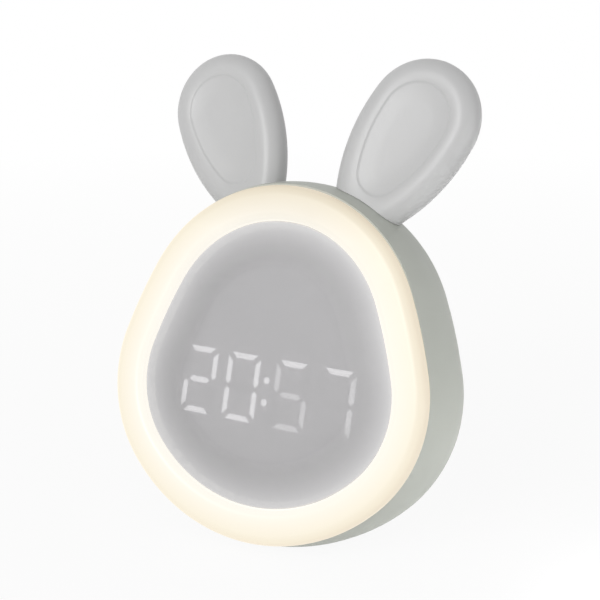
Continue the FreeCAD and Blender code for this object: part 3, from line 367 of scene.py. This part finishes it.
def up_the_face(tree):
    """Height of a point along the leaning face, in metres."""
    where = new_node(tree, "ShaderNodeTexCoord")
    dot = new_node(tree, "ShaderNodeVectorMath", operation="DOT_PRODUCT")
    dot.inputs[1].default_value = face_up
    tree.links.new(where.outputs["Object"], dot.inputs[0])
    return dot.outputs["Value"]


def multiplied(tree, first, second):
    """Two colours multiplied."""
    mix = new_node(tree, "ShaderNodeMix", data_type="RGBA", blend_type="MULTIPLY")
    mix.inputs["Factor"].default_value = 1.0
    tree.links.new(first, mix.inputs["A"])
    tree.links.new(second, mix.inputs["B"])
    return mix.outputs["Result"]


ring_opal = moulded("ring_opal", (0.16, 0.155, 0.145), drift=0.02, gloss=0.38,
                    gloss_drift=0.06, grain=0.0003, height=0.000003)
ring_tree = ring_opal.node_tree
ring_across = ramp(ring_tree, window_mark(ring_tree), 0.0, ring_width, (
    (0.0, linear(254, 250, 240)), (0.3, linear(250, 243, 228)), (0.7, linear(246, 237, 216)),
    (0.88, linear(240, 229, 205)), (1.0, linear(226, 212, 188))))
ring_height = ramp(ring_tree, up_the_face(ring_tree), ring_dim_from, ring_dim_to, (
    (0.0, (1, 1, 1)), (0.45, (0.97, 0.97, 0.96)), (1.0, (0.72, 0.68, 0.63))))
ring_shader = ring_tree.nodes["Principled BSDF"]
ring_tree.links.new(multiplied(ring_tree, ring_across, ring_height),
                    ring_shader.inputs["Emission Color"])
ring_shader.inputs["Emission Strength"].default_value = 0.865
mark_window(finished("opal_ring", merged_copy("light_ring"), ring_opal, "clock",
                     "light_ring"))


# Window pane: a milky grey sheet bonded in the ring. The display shows through it only
# where a bar is lit, and a painted glow at its border stands in for the ring's light.
pane_steps = (0.0012, 0.0015, 0.002, 0.0025, 0.003, 0.004, 0.006)
pane_flatness = 0.999
# How far in from the border the painted glow of ring light reaches
pane_painted_glow_reach = 0.014
pane_cover_from = 0.017
pane_cover_to = 0.001
pane_haze = 0.42
pane_form = merged_copy("window_pane")
for outward in (face_out, -face_out):
    pane_faces = [f for f in pane_form.faces if f.normal.dot(outward) > pane_flatness]
    pane_sheet = bmesh.ops.dissolve_faces(pane_form, faces=pane_faces)["region"]
    for step in pane_steps:
        bmesh.ops.inset_region(pane_form, faces=pane_sheet, thickness=step,
                               use_boundary=True, use_even_offset=True)
pane_grey = moulded("pane_grey", linear(203, 202, 203), drift=0.02, gloss=0.4,
                    gloss_drift=0.05, grain=0.0004, height=0.000003)
pane_tree = pane_grey.node_tree
pane_shader = pane_tree.nodes["Principled BSDF"]
# Painted light: the pane's own emission, brightest at its border and fading inwards, stands in
# for the ring's light
pane_painted_glow = ramp(pane_tree, window_mark(pane_tree), -pane_painted_glow_reach, 0.0, (
    (0.0, (0, 0, 0)), (0.35, (0.006, 0.006, 0.007)), (0.7, (0.02, 0.021, 0.023)),
    (0.93, (0.042, 0.045, 0.049)), (1.0, (0.09, 0.09, 0.09))))
pane_tree.links.new(pane_painted_glow, pane_shader.inputs["Emission Color"])
pane_shader.inputs["Emission Strength"].default_value = 1.0
pane_cover = ramp(pane_tree, window_mark(pane_tree), -pane_cover_from, -pane_cover_to, (
    (0.0, (pane_haze, pane_haze, pane_haze)), (1.0, (1, 1, 1))))
pane_tree.links.new(pane_cover, pane_shader.inputs["Alpha"])
mark_window(finished("milky_pane", pane_form, pane_grey, "clock", "window_pane"))


# Display: a mask with a slot for each bar, clear light bars in the slots, a white
# reflector behind them and the board with the lamps. The bars of 20:57 are lit, and the
# last two digits are a little weaker.
mask_plastic = moulded("mask_plastic", linear(240, 239, 241), drift=0.03, gloss=0.6,
                       gloss_drift=0.05, grain=0.0003, height=0.000004)
dress(mask_plastic, "display_mask")
bar_stroke = 0.0019
bar_corner = 0.0015
bar_waist = 0.0008
bar_middle_length = 0.0086
digit_width = 0.0142
digit_height = 0.0256
digit_middles = (-0.0298, -0.0107, 0.0107, 0.0298)
digit_drop = 0.0182
bar_front = 0.0062
bar_back = 0.0076
dot_radius = 0.0012
dot_pitch = 0.0084
half = bar_stroke / 2
side = digit_width / 2
top = digit_height / 2
cut = side - bar_corner
rise = top - bar_corner
wing = bar_middle_length / 2
top_bar = [(-cut, top), (cut, top), (cut - bar_stroke, top - bar_stroke),
           (bar_stroke - cut, top - bar_stroke)]
side_bar = [(side, rise), (side, bar_waist + half), (side - half, bar_waist),
            (side - bar_stroke, bar_waist + half), (side - bar_stroke, rise - bar_stroke)]
middle_bar = [(-wing, 0), (half - wing, -half), (wing - half, -half), (wing, 0),
              (wing - half, half), (half - wing, half)]
# Each bar by the usual letter: its outline, and its mirror signs across and up
bar_forms = {"a": (top_bar, 1, 1), "d": (top_bar, 1, -1), "g": (middle_bar, 1, 1),
             "b": (side_bar, 1, 1), "c": (side_bar, 1, -1),
             "e": (side_bar, -1, -1), "f": (side_bar, -1, 1)}
# The bars of the four digits in each level of light, and its strength
bar_groups = {
    "bars_bright": (("abged", "abcdef", "a", "a"), 0.62),
    "bars_soft": (("", "", "", "bc"), 0.42),
    "bars_dim": (("", "", "fgcd", ""), 0.34),
    "bars_unlit": (("cf", "g", "be", "defg"), 0.0)}
for name, (digits, strength) in bar_groups.items():
    form = bmesh.new()
    for middle, letters in zip(digit_middles, digits):
        for letter in letters:
            corners, across, up = bar_forms[letter]
            face = form.faces.new([
                form.verts.new((middle + x * across, bar_back, z * up - digit_drop))
                for x, z in corners])
            raised = bmesh.ops.extrude_face_region(form, geom=[face])
            bmesh.ops.translate(
                form, vec=(0, bar_front - bar_back, 0),
                verts=[v for v in raised["geom"] if isinstance(v, bmesh.types.BMVert)])
    if name == "bars_bright":
        for level in (-1, 1):
            spot = Vector((0, (bar_front + bar_back) / 2, dot_pitch / 2 * level - digit_drop))
            turn = Matrix.Translation(spot) @ Matrix.Rotation(math.pi / 2, 4, "X")
            bmesh.ops.create_cone(form, cap_ends=True, segments=32, radius1=dot_radius,
                                  radius2=dot_radius, depth=bar_back - bar_front, matrix=turn)
    bmesh.ops.recalc_face_normals(form, faces=form.faces)
    bmesh.ops.transform(form, matrix=face_place, verts=form.verts)
    bar_clear = moulded(name, linear(236, 235, 237), drift=0.02, gloss=0.5,
                        gloss_drift=0.05, grain=0.0003, height=0.000002)
    bar_shader = bar_clear.node_tree.nodes["Principled BSDF"]
    bar_shader.inputs["Emission Color"].default_value = (1.0, 0.99, 1.0, 1)
    bar_shader.inputs["Emission Strength"].default_value = strength
    bars = finished(name, form, bar_clear, "clock")
    if name == "bars_bright":
        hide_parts("display_segments")

reflector_white = moulded("reflector_white", (0.85, 0.85, 0.84), drift=0.02, gloss=0.45,
                          gloss_drift=0.05, grain=0.0004, height=0.000004)
dress(reflector_white, "display_reflector", "inner_frame", "battery_cradle")


# Ears: two half shells each, moulded in a neutral grey with a satin polish. The front half
# has a shallow bowl with a soft lip, and a tenon that goes through the housing, where a
# nylon clamp is screwed to its end.
ear_plastic = moulded("ear_plastic", linear(202, 202, 202), drift=0.03, gloss=0.36,
                      gloss_drift=0.08, grain=0.0003, height=0.000005)
dress(ear_plastic, "left_ear_back", "right_ear_back")
ear_tilt = math.radians(28.2)
ear_across = 0.0429
ear_depth = 0.0199
ear_rise = 0.0902
ear_front = -0.0067
dish_tip_radius = 0.014
dish_root_radius = 0.0095
dish_side_radius = 0.06
dish_length = 0.0233
dish_drop = 0.001
dish_floor = ear_front + 0.0023
dish_edge_slack = 1e-5
dish_least_facing = 0.3
lip_width = 0.0009
lip_depth = 0.00025
bowl_depth = 0.001
bowl_reach = 0.01
dish_steps = (0.0003, 0.0003, 0.0003, 0.0004, 0.0006, 0.0008, 0.001, 0.0012, 0.0014, 0.0014)


def past_dish(point):
    """How far a point, in the ear's own frame, lies outside the dish's outline."""
    far = dish_side_radius - dish_tip_radius
    near = dish_side_radius - dish_root_radius
    down = (dish_length ** 2 + far ** 2 - near ** 2) / (2 * dish_length)
    tip = Vector((0, -dish_drop))
    root = tip - Vector((0, dish_length))
    side = tip - Vector((math.sqrt(far ** 2 - down ** 2), down))
    flat = Vector((abs(point.x), point.z))
    high, low, here = [math.atan2(arm.y, arm.x) for arm in (tip - side, root - side,
                                                            flat - side)]
    if here > high:
        return (flat - tip).length - dish_tip_radius
    if here < low:
        return (flat - root).length - dish_root_radius
    return (flat - side).length - dish_side_radius


def dish_sink(inside):
    """Depth of the bowl at a distance inside its lip."""
    lip = min(inside / lip_width, 1)
    bowl = min(inside / bowl_reach, 1)
    return lip_depth * lip * lip * (3 - 2 * lip) + bowl_depth * bowl * (2 - bowl)


for sign, name in ((-1, "left_ear"), (1, "right_ear")):
    ear_place = (face_place @ Matrix.Translation((ear_across * sign, ear_depth, ear_rise))
                 @ Matrix.Rotation(ear_tilt * sign, 4, "Y"))
    ear_inverse = ear_place.inverted()
    ear_form = merged_copy(name + "_shell")
    dish_faces = []
    for face in ear_form.faces:
        middle = ear_inverse @ face.calc_center_median()
        if (face.normal.dot(face_out) > dish_least_facing
                and past_dish(middle) < -dish_edge_slack and middle.y < dish_floor):
            dish_faces.append(face)
    dish_sheet = bmesh.ops.dissolve_faces(ear_form, faces=dish_faces)["region"]
    for step in dish_steps:
        bmesh.ops.inset_region(ear_form, faces=dish_sheet, thickness=step,
                               use_boundary=True, use_even_offset=True)
    for vert in ear_form.verts:
        spot = ear_inverse @ vert.co
        inside = -past_dish(spot)
        if inside > dish_edge_slack and spot.y < dish_floor:
            spot.y = ear_front + dish_sink(inside)
            vert.co = ear_place @ spot
    finished(name + "_front", ear_form, ear_plastic, "clock", name + "_shell")
clamp_nylon = moulded("clamp_nylon", linear(60, 60, 62), drift=0.08, gloss=0.55,
                      gloss_drift=0.1, grain=0.0003, height=0.00001)
dress(clamp_nylon, "left_ear_clamp", "right_ear_clamp")


# Boards: glass-epoxy sheets with a green solder mask, and a white one under the ring's
# lamps. The chip and the lead sockets are soldered to the main board.
board_green = moulded("board_green", linear(28, 92, 58), drift=0.3, gloss=0.35,
                      gloss_drift=0.1, grain=0.0006, height=0.00001)
dress(board_green, "display_board", "main_board", "key_board")
board_white = moulded("board_white", linear(236, 236, 232), drift=0.04, gloss=0.4,
                      gloss_drift=0.08, grain=0.0006, height=0.00001)
dress(board_white, "lamp_board")
chip_black = moulded("chip_black", linear(30, 30, 32), drift=0.1, gloss=0.5,
                     gloss_drift=0.1, grain=0.0002, height=0.000004)
dress(chip_black, "clock_chip")
socket_nylon = moulded("socket_nylon", linear(232, 226, 208), drift=0.04, gloss=0.5,
                       gloss_drift=0.08, grain=0.0003, height=0.000006)
dress(socket_nylon, "lead_sockets")
lamp_yellow = moulded("lamp_yellow", linear(246, 214, 120), drift=0.05, gloss=0.3,
                      gloss_drift=0.05, grain=0.0003, height=0.000002)
dress(lamp_yellow, "ring_lamps")


# Keys and switches: four grey keycaps moulded in soft-touch plastic and a dark slide, over
# switches with stamped steel covers
key_plastic = moulded("key_plastic", linear(178, 181, 174), drift=0.04, gloss=0.45,
                      gloss_drift=0.1, grain=0.0002, height=0.000006)
dress(key_plastic, "light_key", "down_key", "up_key", "set_key")
alarm_plastic = moulded("alarm_plastic", linear(52, 54, 56), drift=0.06, gloss=0.42,
                        gloss_drift=0.1, grain=0.0002, height=0.000006)
dress(alarm_plastic, "alarm_slide")
sheet_steel = moulded("sheet_steel", linear(196, 198, 202), drift=0.08, gloss=0.3,
                      gloss_drift=0.12, grain=0.0002, height=0.000002, metal=1.0)
dress(sheet_steel, "key_switches", "slide_switch", "charge_inlet")


# Screws: zinc-plated steel, driven into the posts of the housing, the frame and the ears.
# The case screws sit deep in tubes that open at the back.
screw_steel = moulded("screw_steel", linear(150, 152, 158), drift=0.1, gloss=0.35,
                      gloss_drift=0.12, grain=0.0002, height=0.000003, metal=1.0)
dress(screw_steel, "case_screws", "display_screws", "main_board_screws", "cradle_screws",
      "key_board_screws", "speaker_screws", "ear_screws")


# Speaker: a black paper cone in a pressed steel basket with its magnet behind. A nylon
# clamp holds it against the grille.
cone_paper = moulded("cone_paper", linear(38, 36, 36), drift=0.15, gloss=0.8,
                     gloss_drift=0.1, grain=0.0002, height=0.00002)
dress(cone_paper, "speaker_cone")
dress(sheet_steel, "speaker_basket", "speaker_magnet")
dress(clamp_nylon, "speaker_clamp")


# Battery: one rechargeable cell in a blue sleeve of shrunk film, which lies in a moulded
# cradle
cell_sleeve = moulded("cell_sleeve", linear(44, 92, 150), drift=0.08, gloss=0.3,
                      gloss_drift=0.08, grain=0.0006, height=0.000006)
dress(cell_sleeve, "battery_cell")


# Foot: a pad of soft grey rubber, cut from sheet and glued in the flat of the base, so that
# the clock doesn't slip
foot_rubber = moulded("foot_rubber", linear(118, 119, 117), drift=0.08, gloss=0.75,
                      gloss_drift=0.1, grain=0.0003, height=0.00002)
dress(foot_rubber, "foot_plate")
